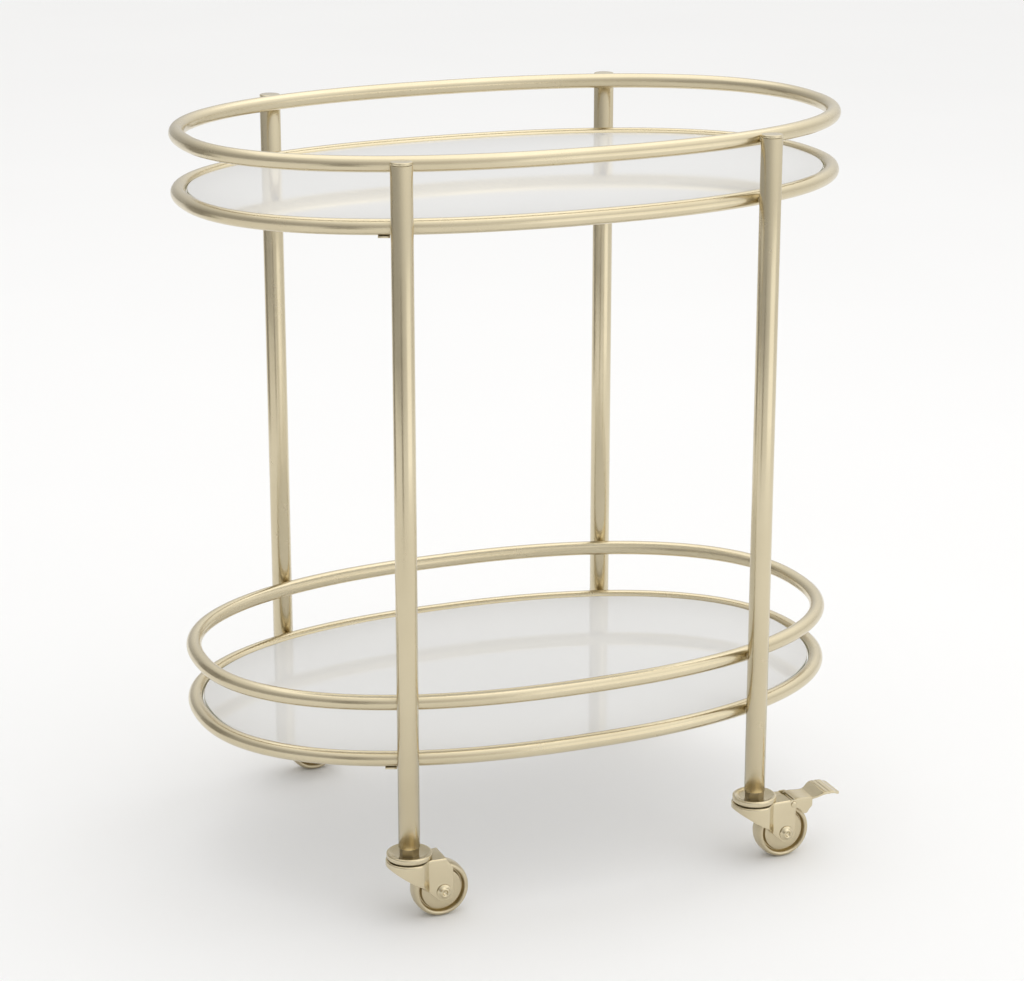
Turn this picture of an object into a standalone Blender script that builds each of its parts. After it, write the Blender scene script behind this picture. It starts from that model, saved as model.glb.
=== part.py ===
"""Two-tier oval serving cart: four posts, two guard rails, two shelf rings with glass, four swivel casters.

Metres, +Z up. The origin is on the floor at the middle of the cart, with +X along the long side.
The casters trail towards +X, and the two at that end have a foot brake.
"""

import math

import bmesh
import bpy
from mathutils import Matrix, Vector

# ---- driving dimensions ----
RING_HALF_LENGTH = 0.350  # centreline of every oval ring, along X
RING_HALF_WIDTH = 0.216  # the same, along Y
OVAL_POWER = 2.27  # 2 is a true ellipse, more is fuller at the quarters
RING_RADIUS = 0.008  # 16 mm tube
POST_RADIUS = 0.011  # 22 mm tube
POST_WALL = 0.0012
POST_TOUCH_X = 0.190  # where each post meets the rings

UPPER_RAIL_Z = 0.780
UPPER_RING_Z = 0.719
LOWER_RAIL_Z = 0.2295
LOWER_RING_Z = 0.1685
POST_TOP_Z = 0.786
POST_BOTTOM_Z = 0.0795

GLASS_THICKNESS = 0.005
GLASS_RISE = 0.004  # glass top above the ring's centreline
GLASS_GAP = 0.0008
TAB_THICKNESS = 0.002
TAB_WIDTH = 0.012
TAB_REACH = 0.034
TAB_OFFSET = 0.016  # along the ring, from the post towards the cart's end
BUMPER_RADIUS = 0.0045

STEM_RADIUS = 0.005
STEM_TOP_Z = 0.100
INSERT_LENGTH = 0.024
COLLAR_HEX = 0.0180  # across the flats of the hexagon at the foot of the stem
DISH_FLOOR_Z = 0.0712
HEAD_UNDERSIDE_Z = 0.0695
KINGPIN_RADIUS = 0.005
RACE_RADIUS = 0.016

WHEEL_RADIUS = 0.030
WHEEL_HALF_WIDTH = 0.010
HUB_HALF_WIDTH = 0.0125
TRAIL = 0.032  # stem to axle
CHEEK_HALF_SPREAD = 0.015  # outer faces of the fork's legs
SHEET = 0.002  # pressed steel of the fork
FORK_TOP_Z = 0.0668
FORK_SHOULDER = 0.0016  # bevel round the top edge of the pressing
COLLAR_RADIUS = 0.0245
CREASE_X = 0.0165  # where the collar's taper meets the flat leg
BRIDGE_END_X = 0.0345
LEG_REAR_X = TRAIL + 0.0099
LEG_END_RADIUS = 0.010
BRAKED_BRIDGE_END_X = 0.0362
BRAKED_REAR_X = 0.0455  # the braked fork's legs reach back to the pedal pin
BRAKED_EAR_Z = 0.0570
AXLE_RADIUS = 0.004
AXLE_HEAD_RADIUS = 0.0080
AXLE_HEAD_HEIGHT = 0.0042

PEDAL_SHEET = 0.0018
PLATE_Z = 0.0668
EAR_FRONT_X = 0.0370
EAR_HALF_SPREAD = 0.0126
TOE_HALF_WIDTH = 0.018
PIN_HEAD_RADIUS = 0.0034
BRAKE_PIN = (0.0402, 0.0620)  # behind the stem, above the floor
BRAKE_PIN_RADIUS = 0.002
BRAKE_SWING = math.radians(15)

CLEARANCE = 0.0003
RUNNING = 0.0005  # between a turning piece and what it turns on
RING_STEPS = 48
RING_SIDES = 8
TUBE_SIDES = 20
WHEEL_SIDES = 24
ROUND_SIDES = 16
PIN_SIDES = 12
BUMPER_SIDES = 10

GOLD = ("champagne_gold", (0.60, 0.52, 0.37, 1.0), 0.32, 1.0)
GLASS = ("white_glass", (0.88, 0.87, 0.85, 1.0), 0.06, 0.0)
CLEAR_RUBBER = ("clear_rubber", (0.75, 0.75, 0.72, 1.0), 0.45, 0.0)
STEEL = ("zinc_steel", (0.50, 0.50, 0.50, 1.0), 0.35, 1.0)
SHOE_RUBBER = ("black_rubber", (0.04, 0.04, 0.04, 1.0), 0.7, 0.0)

CORNERS = {
    "front_left": (-1, -1),
    "front_right": (1, -1),
    "rear_left": (-1, 1),
    "rear_right": (1, 1),
}
BRAKED = ("front_right", "rear_right")


# ---- shared tools ----
def clear_scene():
    for old in list(bpy.data.objects):
        bpy.data.objects.remove(old)


def material(kind):
    name, colour, roughness, metallic = kind
    made = bpy.data.materials.get(name)
    if made is None:
        made = bpy.data.materials.new(name)
        made.use_nodes = True
        shader = made.node_tree.nodes["Principled BSDF"]
        shader.inputs["Base Color"].default_value = colour
        shader.inputs["Roughness"].default_value = roughness
        shader.inputs["Metallic"].default_value = metallic
    return made


def add_object(name, bm, kind, place=(0, 0, 0), parent=None):
    mesh = bpy.data.meshes.new(name)
    bm.to_mesh(mesh)
    bm.free()
    mesh.shade_smooth()
    mesh.set_sharp_from_angle(angle=math.radians(35))
    mesh.materials.append(material(kind))
    made = bpy.data.objects.new(name, mesh)
    bpy.context.collection.objects.link(made)
    made.location = place
    made.parent = parent
    return made


def add_cutter(name, bm, target, operation="DIFFERENCE"):
    cutter = add_object(name, bm, STEEL, parent=target)
    cutter.hide_render = True
    cutter.display_type = "WIRE"
    change = target.modifiers.new(name, "BOOLEAN")
    change.operation = operation
    change.object = cutter
    return cutter


def turned(profile, sides, axis="Z"):
    """A solid of revolution from (radius, height) points, listed from the top down the outer side."""
    bm = bmesh.new()
    rings = []
    for radius, height in profile:
        if radius < 1e-6:
            rings.append([bm.verts.new((0, 0, height))])
            continue
        ring = []
        for i in range(sides):
            angle = 2 * math.pi * (i + 0.5) / sides
            ring.append(bm.verts.new((radius * math.cos(angle), radius * math.sin(angle), height)))
        rings.append(ring)
    closed = len(rings[0]) > 1
    pairs = list(zip(rings, rings[1:]))
    if closed:
        pairs.append((rings[-1], rings[0]))
    for upper, lower in pairs:
        for i in range(sides):
            j = (i + 1) % sides
            corners = [upper[i % len(upper)], lower[i % len(lower)]]
            corners += [lower[j % len(lower)], upper[j % len(upper)]]
            unique = list(dict.fromkeys(corners))
            if len(unique) > 2:
                bm.faces.new(unique)
    if axis == "Y":
        bmesh.ops.rotate(bm, verts=bm.verts, matrix=Matrix.Rotation(math.radians(90), 3, "X"))
    bmesh.ops.recalc_face_normals(bm, faces=bm.faces)
    return bm


def extruded(outline, low, high, plane="XY"):
    """A prism from a 2-D outline. In plane XZ the outline is (x, z) and it runs along Y."""
    bm = bmesh.new()

    def point(p, depth):
        return (p[0], p[1], depth) if plane == "XY" else (p[0], depth, p[1])

    bottom = [bm.verts.new(point(p, low)) for p in outline]
    top = [bm.verts.new(point(p, high)) for p in outline]
    bm.faces.new(bottom[::-1])
    bm.faces.new(top)
    for i in range(len(outline)):
        j = (i + 1) % len(outline)
        bm.faces.new((bottom[i], bottom[j], top[j], top[i]))
    bmesh.ops.recalc_face_normals(bm, faces=bm.faces)
    return bm


def signed_power(value, power):
    return math.copysign(abs(value) ** power, value)


def oval_point(angle):
    """A point on the rings' centreline."""
    x = RING_HALF_LENGTH * signed_power(math.cos(angle), 2 / OVAL_POWER)
    y = RING_HALF_WIDTH * signed_power(math.sin(angle), 2 / OVAL_POWER)
    return Vector((x, y, 0))


def oval_y(x):
    return RING_HALF_WIDTH * (1 - abs(x / RING_HALF_LENGTH) ** OVAL_POWER) ** (1 / OVAL_POWER)


def oval_normal(x, y):
    """Outward normal of the oval at a point on it."""
    gx = signed_power(x / RING_HALF_LENGTH, OVAL_POWER - 1) / RING_HALF_LENGTH
    gy = signed_power(y / RING_HALF_WIDTH, OVAL_POWER - 1) / RING_HALF_WIDTH
    return Vector((gx, gy, 0)).normalized()


def oval_stations():
    """Points spread evenly along the oval, which starts at +X."""
    fine = [oval_point(2 * math.pi * i / 2000) for i in range(2001)]
    lengths = [0.0]
    for a, b in zip(fine, fine[1:]):
        lengths.append(lengths[-1] + (b - a).length)
    stations = []
    k = 0
    for i in range(RING_STEPS):
        wanted = lengths[-1] * i / RING_STEPS
        while lengths[k + 1] < wanted:
            k += 1
        part = (wanted - lengths[k]) / (lengths[k + 1] - lengths[k])
        stations.append(fine[k].lerp(fine[k + 1], part))
    return stations


STATIONS = oval_stations()
NORMALS = [oval_normal(p.x, p.y) for p in STATIONS]
TOUCH = Vector((POST_TOUCH_X, oval_y(POST_TOUCH_X), 0))
TOUCH_NORMAL = oval_normal(TOUCH.x, TOUCH.y)
POST = TOUCH + TOUCH_NORMAL * (RING_RADIUS + POST_RADIUS + CLEARANCE)


# ---- the frame ----
def add_ring(name, height):
    """A round tube bent into the oval and butt welded, made as a solid bar."""
    bm = bmesh.new()
    loops = []
    for point, normal in zip(STATIONS, NORMALS):
        loop = []
        for j in range(RING_SIDES):
            angle = 2 * math.pi * j / RING_SIDES
            offset = normal * (RING_RADIUS * math.cos(angle)) + Vector((0, 0, RING_RADIUS * math.sin(angle)))
            loop.append(bm.verts.new(point + offset))
        loops.append(loop)
    for i in range(RING_STEPS):
        here, there = loops[i], loops[(i + 1) % RING_STEPS]
        for j in range(RING_SIDES):
            k = (j + 1) % RING_SIDES
            bm.faces.new((here[j], there[j], there[k], here[k]))
    bmesh.ops.recalc_face_normals(bm, faces=bm.faces)
    add_object(name, bm, GOLD, (0, 0, height))


def add_shelf(name, ring_height):
    """An oval pane with small arrises, inside its ring."""
    inset = RING_RADIUS + GLASS_GAP
    arris = 0.0008
    rows = (
        (inset + arris, 0),
        (inset, -arris),
        (inset, arris - GLASS_THICKNESS),
        (inset + arris, -GLASS_THICKNESS),
    )
    bm = bmesh.new()
    loops = []
    for step_in, height in rows:
        loop = [bm.verts.new(p - n * step_in + Vector((0, 0, height))) for p, n in zip(STATIONS, NORMALS)]
        loops.append(loop)
    bm.faces.new(loops[0])
    bm.faces.new(loops[-1][::-1])
    for upper, lower in zip(loops, loops[1:]):
        for i in range(RING_STEPS):
            j = (i + 1) % RING_STEPS
            bm.faces.new((upper[i], lower[i], lower[j], upper[j]))
    bmesh.ops.recalc_face_normals(bm, faces=bm.faces)
    add_object(name, bm, GLASS, (0, 0, ring_height + GLASS_RISE))


def add_tab(corner, tier, ring_height):
    """A flat steel lug under the ring, and the clear bumper on it that carries the glass."""
    sx, sy = CORNERS[corner]
    x = POST_TOUCH_X + TAB_OFFSET
    touch = Vector((x, oval_y(x), 0))
    inward = -oval_normal(touch.x, touch.y)
    along = Vector((-inward.y, inward.x, 0))
    outer = touch - inward * (RING_RADIUS * 0.5)
    tip = outer + inward * TAB_REACH
    half = TAB_WIDTH / 2
    nose = 0.004
    outline = [
        outer - along * half,
        outer + along * half,
        tip + along * half - inward * nose,
        tip + along * (half - nose),
        tip - along * (half - nose),
        tip - along * half - inward * nose,
    ]
    outline = [(p.x * sx, p.y * sy) for p in outline]
    top = ring_height - RING_RADIUS - CLEARANCE
    add_object(f"{tier}_{corner}_support_tab", extruded(outline, top - TAB_THICKNESS, top), GOLD)

    glass_bottom = ring_height + GLASS_RISE - GLASS_THICKNESS
    low = top + CLEARANCE
    high = glass_bottom - CLEARANCE
    profile = [(0, high), (BUMPER_RADIUS - 0.0006, high), (BUMPER_RADIUS, low), (0, low)]
    seat = tip - inward * (nose + BUMPER_RADIUS)
    place = (seat.x * sx, seat.y * sy, 0)
    add_object(f"{tier}_{corner}_bumper", turned(profile, BUMPER_SIDES), CLEAR_RUBBER, place)


def add_post(corner, place):
    """An open tube, closed by a cap above and a threaded insert below."""
    inner = POST_RADIUS - POST_WALL
    cap_plate = 0.003
    tube_top = POST_TOP_Z - cap_plate - CLEARANCE
    tube = [(inner, tube_top), (POST_RADIUS, tube_top), (POST_RADIUS, POST_BOTTOM_Z), (inner, POST_BOTTOM_Z)]
    add_object(f"{corner}_post", turned(tube, TUBE_SIDES), GOLD, place)

    edge = 0.0008
    spigot = inner - 0.0004
    cap = [
        (0, POST_TOP_Z),
        (POST_RADIUS - edge, POST_TOP_Z),
        (POST_RADIUS, POST_TOP_Z - edge),
        (POST_RADIUS, POST_TOP_Z - cap_plate),
        (spigot, POST_TOP_Z - cap_plate),
        (spigot, POST_TOP_Z - cap_plate - 0.006),
        (0, POST_TOP_Z - cap_plate - 0.006),
    ]
    add_object(f"{corner}_post_cap", turned(cap, TUBE_SIDES), GOLD, place)

    bore = STEM_RADIUS + RUNNING
    low = POST_BOTTOM_Z + 0.001
    insert = [(bore, low + INSERT_LENGTH), (spigot, low + INSERT_LENGTH), (spigot, low), (bore, low)]
    add_object(f"{corner}_threaded_insert", turned(insert, ROUND_SIDES), STEEL, place)


# ---- the casters ----
def add_stem(corner, place):
    """Threaded stem with a hexagon, dished head with a rolled rim, and the kingpin's rivet below the fork."""
    under_fork = FORK_TOP_Z - SHEET - RUNNING
    head = [
        (0, STEM_TOP_Z),
        (STEM_RADIUS, STEM_TOP_Z),
        (STEM_RADIUS, DISH_FLOOR_Z),
        (0.0160, DISH_FLOOR_Z),
        (0.0214, DISH_FLOOR_Z + 0.0030),
        (0.0238, DISH_FLOOR_Z + 0.0016),
        (0.0236, HEAD_UNDERSIDE_Z - 0.0011),
        (0.0216, HEAD_UNDERSIDE_Z - 0.0011),
        (0.0210, HEAD_UNDERSIDE_Z),
        (KINGPIN_RADIUS, HEAD_UNDERSIDE_Z),
        (KINGPIN_RADIUS, under_fork),
        (0.0085, under_fork),
        (0.0075, under_fork - 0.0022),
        (0, under_fork - 0.0022),
    ]
    stem = add_object(f"{corner}_caster_stem", turned(head, TUBE_SIDES), GOLD, place)

    corner_radius = COLLAR_HEX / 2 / math.cos(math.radians(30))
    hex_top = POST_BOTTOM_Z - 2 * CLEARANCE
    hex_low = DISH_FLOOR_Z - 0.0006
    hexagon = [(0, hex_top), (corner_radius, hex_top), (corner_radius, hex_low), (0, hex_low)]
    add_cutter(f"{corner}_stem_hexagon", turned(hexagon, 6), stem, "UNION")


def add_race(corner, swivel):
    """The ring of balls between the head and the fork."""
    middle = (HEAD_UNDERSIDE_Z + FORK_TOP_Z) / 2
    half = (HEAD_UNDERSIDE_Z - FORK_TOP_Z) / 2 - CLEARANCE
    ring = [
        (RACE_RADIUS - 0.002, middle + half),
        (RACE_RADIUS + 0.002, middle + half),
        (RACE_RADIUS + 0.002, middle - half),
        (RACE_RADIUS - 0.002, middle - half),
    ]
    add_object(f"{corner}_ball_race", turned(ring, ROUND_SIDES), STEEL, parent=swivel)


def leg_bottom(x):
    """Lower edge of the fork's skirt: two slopes from the nose to a round end under the axle."""
    lean = math.radians(50)
    meet = (TRAIL - LEG_END_RADIUS * math.sin(lean), WHEEL_RADIUS - LEG_END_RADIUS * math.cos(lean))
    slopes = ((-COLLAR_RADIUS, 0.0610), (0.0063, 0.0410), meet)
    for (x0, z0), (x1, z1) in zip(slopes, slopes[1:]):
        if x <= x1:
            return z0 + (z1 - z0) * max(0.0, x - x0) / (x1 - x0)
    inside = max(0.0, LEG_END_RADIUS**2 - (x - TRAIL) ** 2)
    return WHEEL_RADIUS - math.sqrt(inside)


def fork_plan(bridge_end, rear):
    """Half of the fork's outline seen from above, from its nose to the rear of one leg."""
    points = []
    leave = math.radians(75)
    arc_steps = 7
    for i in range(arc_steps + 1):
        angle = math.pi - (math.pi - leave) * i / arc_steps
        points.append((COLLAR_RADIUS * math.cos(angle), COLLAR_RADIUS * math.sin(angle)))
    points.append((CREASE_X, CHEEK_HALF_SPREAD))
    for x in (0.0243, 0.0280, 0.0315, bridge_end, 0.0395, 0.0412, LEG_REAR_X):
        points.append((x, CHEEK_HALF_SPREAD))
    if rear > LEG_REAR_X:
        points.append((rear, CHEEK_HALF_SPREAD))
    return points


def add_fork(corner, swivel, braked):
    """One pressed sheet: round collar, flat bridge and two legs, with the kingpin and axle holes."""
    rear = BRAKED_REAR_X if braked else LEG_REAR_X
    bridge_end = BRAKED_BRIDGE_END_X if braked else BRIDGE_END_X
    half = fork_plan(bridge_end, rear)
    plan = half[::-1] + [(x, -y) for x, y in half[1:]]

    def top_of(x):
        if braked or x <= bridge_end:
            return FORK_TOP_Z
        return FORK_TOP_Z - (x - bridge_end) * 1.6

    def low_of(x):
        return BRAKED_EAR_Z if x > LEG_REAR_X else leg_bottom(x)

    bm = bmesh.new()
    rows = []
    for x, y in plan:
        top_x, top_y = x, y
        if x < CREASE_X:
            scale = 1 - FORK_SHOULDER / math.hypot(x, y)
            top_x, top_y = x * scale, y * scale
        elif x <= bridge_end:
            top_y = math.copysign(abs(y) - FORK_SHOULDER, y)
        column = [
            bm.verts.new((top_x, top_y, top_of(x))),
            bm.verts.new((x, y, top_of(x) - FORK_SHOULDER)),
            bm.verts.new((x, y, low_of(x))),
        ]
        rows.append(column)
    for here, there in zip(rows, rows[1:]):
        for k in range(2):
            bm.faces.new((here[k], here[k + 1], there[k + 1], there[k]))
    bridge = [row[0] for row, (x, _) in zip(rows, plan) if x <= bridge_end]
    bm.faces.new(bridge)
    bmesh.ops.recalc_face_normals(bm, faces=bm.faces)
    if max(bm.faces, key=lambda f: f.calc_area()).normal.z < 0:
        bmesh.ops.reverse_faces(bm, faces=bm.faces)
    fork = add_object(f"{corner}_caster_fork", bm, GOLD, parent=swivel)
    wall = fork.modifiers.new("pressed_sheet", "SOLIDIFY")
    wall.thickness = SHEET
    wall.offset = -1
    wall.use_even_offset = True

    hole = KINGPIN_RADIUS + RUNNING
    low, high = FORK_TOP_Z - 0.006, FORK_TOP_Z + 0.003
    bore = turned([(0, high), (hole, high), (hole, low), (0, low)], ROUND_SIDES)
    add_cutter(f"{corner}_kingpin_hole", bore, fork)
    holes = [("axle", AXLE_RADIUS, (TRAIL, WHEEL_RADIUS))]
    if braked:
        holes.append(("pin", BRAKE_PIN_RADIUS, BRAKE_PIN))
    reach = CHEEK_HALF_SPREAD + 0.004
    for label, radius, spot in holes:
        size = radius + RUNNING
        cut = turned([(0, reach), (size, reach), (size, -reach), (0, -reach)], PIN_SIDES, "Y")
        add_cutter(f"{corner}_{label}_hole", cut, fork).location = (spot[0], 0, spot[1])


def add_axle(corner, swivel):
    """A rivet through both legs, with a tapered head each side."""
    seat = CHEEK_HALF_SPREAD + CLEARANCE
    half = [
        (0, seat + AXLE_HEAD_HEIGHT),
        (AXLE_HEAD_RADIUS - 0.0032, seat + AXLE_HEAD_HEIGHT),
        (AXLE_HEAD_RADIUS, seat + 0.0010),
        (AXLE_HEAD_RADIUS, seat),
        (AXLE_RADIUS, seat),
    ]
    profile = half + [(radius, -y) for radius, y in half[::-1]]
    axle = add_object(f"{corner}_axle", turned(profile, PIN_SIDES, "Y"), GOLD, parent=swivel)
    axle.location = (TRAIL, 0, WHEEL_RADIUS)


def add_wheel(corner, swivel):
    """A one-piece wheel: crowned tread, raised rim, deep groove, flat web and a long hub."""
    face = WHEEL_HALF_WIDTH
    flat = 1 / math.cos(math.pi / WHEEL_SIDES)  # so that the tread's flats lie at the wheel's radius
    half = [
        (AXLE_RADIUS + RUNNING, HUB_HALF_WIDTH),
        (0.0078, HUB_HALF_WIDTH),
        (0.0092, face - 0.0022),
        (0.0218, face - 0.0022),
        (0.0230, face - 0.0052),
        (0.0246, face - 0.0010),
        (0.0272, face),
        (WHEEL_RADIUS * flat, face * 0.45),
    ]
    profile = half + [(radius, -y) for radius, y in half[::-1]]
    wheel = add_object(f"{corner}_wheel", turned(profile, WHEEL_SIDES, "Y"), GOLD, parent=swivel)
    wheel.location = (TRAIL, 0, WHEEL_RADIUS)
    return wheel


# ---- the brakes ----
PLATE_STATIONS = (  # behind the stem, above the floor, half width
    (0.0412, PLATE_Z, EAR_HALF_SPREAD),
    (0.0462, PLATE_Z, EAR_HALF_SPREAD),
    (0.0545, PLATE_Z - 0.0006, EAR_HALF_SPREAD),
    (0.0635, PLATE_Z - 0.0010, EAR_HALF_SPREAD),
    (0.0665, PLATE_Z - 0.0004, 0.0150),
    (0.0745, PLATE_Z + 0.0034, TOE_HALF_WIDTH),
    (0.0860, PLATE_Z + 0.0040, TOE_HALF_WIDTH),
    (0.0940, PLATE_Z + 0.0020, TOE_HALF_WIDTH - 0.0010),
)
EAR_DEPTHS = (0.0095, 0.0110, 0.0180, 0.0110)  # under the first four plate stations


def add_pedal(corner, swivel, pedal_pivot):
    """A foot pedal bent from one sheet: flat plate, raised toe with ribs, and two ears on the pin."""
    px, pz = BRAKE_PIN
    bm = bmesh.new()
    plates = []
    for x, z, half in PLATE_STATIONS:
        plates.append([bm.verts.new((x - px, side * half, z - pz)) for side in (-1, 1)])
    for a, b in zip(plates, plates[1:]):
        bm.faces.new((a[0], b[0], b[1], a[1]))
    for side in (0, 1):
        y = (side * 2 - 1) * EAR_HALF_SPREAD
        ears = []
        for plate, (x, z, _), depth in zip(plates, PLATE_STATIONS, EAR_DEPTHS):
            ears.append(bm.verts.new((x - px, y, z - depth - pz)))
        front_top = bm.verts.new((EAR_FRONT_X - px, y, PLATE_Z - 0.0036 - pz))
        front_low = bm.verts.new((EAR_FRONT_X + 0.0004 - px, y, PLATE_Z - 0.0085 - pz))
        quads = [(front_top, front_low, ears[0], plates[0][side])]
        for i in range(len(ears) - 1):
            quads.append((plates[i][side], ears[i], ears[i + 1], plates[i + 1][side]))
        for quad in quads:
            bm.faces.new(quad if side == 0 else quad[::-1])
    bmesh.ops.recalc_face_normals(bm, faces=bm.faces)
    if max(bm.faces, key=lambda f: f.calc_area()).normal.z < 0:
        bmesh.ops.reverse_faces(bm, faces=bm.faces)
    pedal = add_object(f"{corner}_brake_pedal", bm, GOLD, parent=pedal_pivot)
    wall = pedal.modifiers.new("bent_sheet", "SOLIDIFY")
    wall.thickness = PEDAL_SHEET
    wall.offset = -1
    wall.use_even_offset = True
    reach = EAR_HALF_SPREAD + 0.004
    size = BRAKE_PIN_RADIUS + RUNNING
    cut = turned([(0, reach), (size, reach), (size, -reach), (0, -reach)], PIN_SIDES, "Y")
    add_cutter(f"{corner}_pedal_bore", cut, pedal)

    seat = CHEEK_HALF_SPREAD + CLEARANCE
    half = [
        (0, seat + 0.0012),
        (PIN_HEAD_RADIUS - 0.0008, seat + 0.0012),
        (PIN_HEAD_RADIUS, seat + 0.0004),
        (PIN_HEAD_RADIUS, seat),
        (BRAKE_PIN_RADIUS, seat),
    ]
    profile = half + [(radius, -y) for radius, y in half[::-1]]
    pin = add_object(f"{corner}_pedal_pin", turned(profile, PIN_SIDES, "Y"), STEEL, parent=swivel)
    pin.location = (px, 0, pz)


def add_brake_shoe(corner, pedal_pivot):
    """The pad under the pedal. Its lower side fits the tread when the pedal is down."""
    px, pz = BRAKE_PIN
    steps = 4
    rub = WHEEL_RADIUS + RUNNING
    pressed = []
    for i in range(steps + 1):
        angle = math.radians(56 - 14 * i / steps)
        pressed.append((TRAIL + rub * math.cos(angle), WHEEL_RADIUS + rub * math.sin(angle)))
    outline = []
    cos, sin = math.cos(BRAKE_SWING), math.sin(BRAKE_SWING)
    for x, z in pressed:
        dx, dz = x - px, z - pz
        outline.append((dx * cos - dz * sin, dx * sin + dz * cos))
    top = PLATE_Z - 0.0006 - PEDAL_SHEET - CLEARANCE - pz
    outline.append((outline[-1][0], top - 0.0004))
    outline.append((outline[0][0], top - 0.0004))
    bm = extruded(outline, -0.008, 0.008, "XZ")
    add_object(f"{corner}_brake_shoe", bm, SHOE_RUBBER, parent=pedal_pivot)


def add_caster(corner, place):
    swivel = bpy.data.objects.new(f"{corner}_swivel_axis", None)
    bpy.context.collection.objects.link(swivel)
    swivel.location = place
    braked = corner in BRAKED
    add_stem(corner, place)
    add_race(corner, swivel)
    add_fork(corner, swivel, braked)
    add_axle(corner, swivel)
    add_wheel(corner, swivel)
    if braked:
        pivot = bpy.data.objects.new(f"{corner}_pedal_axis", None)
        bpy.context.collection.objects.link(pivot)
        pivot.parent = swivel
        pivot.location = (BRAKE_PIN[0], 0, BRAKE_PIN[1])
        add_pedal(corner, swivel, pivot)
        add_brake_shoe(corner, pivot)


def main():
    clear_scene()
    add_ring("upper_guard_rail", UPPER_RAIL_Z)
    add_ring("upper_shelf_ring", UPPER_RING_Z)
    add_ring("lower_guard_rail", LOWER_RAIL_Z)
    add_ring("lower_shelf_ring", LOWER_RING_Z)
    add_shelf("upper_glass_shelf", UPPER_RING_Z)
    add_shelf("lower_glass_shelf", LOWER_RING_Z)
    for corner, (sx, sy) in CORNERS.items():
        place = (POST.x * sx, POST.y * sy, 0)
        add_post(corner, place)
        add_caster(corner, place)
        add_tab(corner, "upper", UPPER_RING_Z)
        add_tab(corner, "lower", LOWER_RING_Z)


main()
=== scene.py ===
"""The looks of the two-tier oval bar cart: satin gold tube, opaque white glass and pressed-steel casters."""

import math

import bmesh
import bpy
from mathutils import Matrix, Vector, noise


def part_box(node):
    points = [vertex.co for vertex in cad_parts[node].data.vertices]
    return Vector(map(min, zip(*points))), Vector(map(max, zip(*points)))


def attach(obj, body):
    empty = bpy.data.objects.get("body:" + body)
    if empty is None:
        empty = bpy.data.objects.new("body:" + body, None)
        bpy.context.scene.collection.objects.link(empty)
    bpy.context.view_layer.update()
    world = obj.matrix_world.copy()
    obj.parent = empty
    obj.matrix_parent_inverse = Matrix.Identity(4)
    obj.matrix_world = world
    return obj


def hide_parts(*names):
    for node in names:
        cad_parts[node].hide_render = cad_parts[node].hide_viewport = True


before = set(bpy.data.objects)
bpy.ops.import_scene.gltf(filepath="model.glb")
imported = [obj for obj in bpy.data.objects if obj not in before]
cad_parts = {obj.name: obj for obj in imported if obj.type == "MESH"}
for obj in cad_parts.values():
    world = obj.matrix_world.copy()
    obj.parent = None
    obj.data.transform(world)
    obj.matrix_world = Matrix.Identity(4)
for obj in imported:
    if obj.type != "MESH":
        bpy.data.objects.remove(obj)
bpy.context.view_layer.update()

CORNERS = ("front_left", "front_right", "rear_left", "rear_right")
BRAKED = ("front_right", "rear_right")
RINGS = ("upper_guard_rail", "upper_shelf_ring", "lower_guard_rail", "lower_shelf_ring")
OVAL_POWER = 2.27
RING_STEPS = 288
ROOT = "cart_frame"


# ---- sizes, read from the frame ----
def centre_of(node):
    low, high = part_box(node)
    return (low + high) / 2


def size_of(node):
    low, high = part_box(node)
    return high - low


RING_LOW, RING_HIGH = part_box("upper_guard_rail")
RING_RADIUS = (RING_HIGH.z - RING_LOW.z) / 2
HALF_LENGTH = RING_HIGH.x - RING_RADIUS
HALF_WIDTH = RING_HIGH.y - RING_RADIUS
RING_Z = {name: centre_of(name).z for name in RINGS}
POST_PLACE = {corner: centre_of(f"{corner}_caster_stem") for corner in CORNERS}
POST_RADIUS = 0.011
POST_LOW, POST_HIGH = (p.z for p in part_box("front_left_post"))
AXLE_PLACE = {corner: centre_of(f"{corner}_wheel") for corner in CORNERS}
WHEEL_RADIUS = size_of("front_left_wheel").z / 2
TRAIL = AXLE_PLACE["front_left"].x - POST_PLACE["front_left"].x


# ---- mesh tools ----
def in_scene(name, bm):
    """Turns a bmesh into a plain object in the scene."""
    mesh = bpy.data.meshes.new(name)
    bm.to_mesh(mesh)
    bm.free()
    thing = bpy.data.objects.new(name, mesh)
    bpy.context.scene.collection.objects.link(thing)
    return thing


def finished(name, bm, body, look, replaced=(), smooth_angle=40, place=(0, 0, 0)):
    """Turns a bmesh into a piece that rides on a CAD body."""
    bmesh.ops.recalc_face_normals(bm, faces=bm.faces)
    mesh = bpy.data.meshes.new(name)
    bm.to_mesh(mesh)
    bm.free()
    mesh.transform(Matrix.Translation(place))
    mesh.shade_smooth()
    mesh.set_sharp_from_angle(angle=math.radians(smooth_angle))
    mesh.materials.append(look)
    piece = bpy.data.objects.new(name, mesh)
    bpy.context.scene.collection.objects.link(piece)
    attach(piece, body)
    if replaced:
        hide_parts(*replaced)
    return piece


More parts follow.
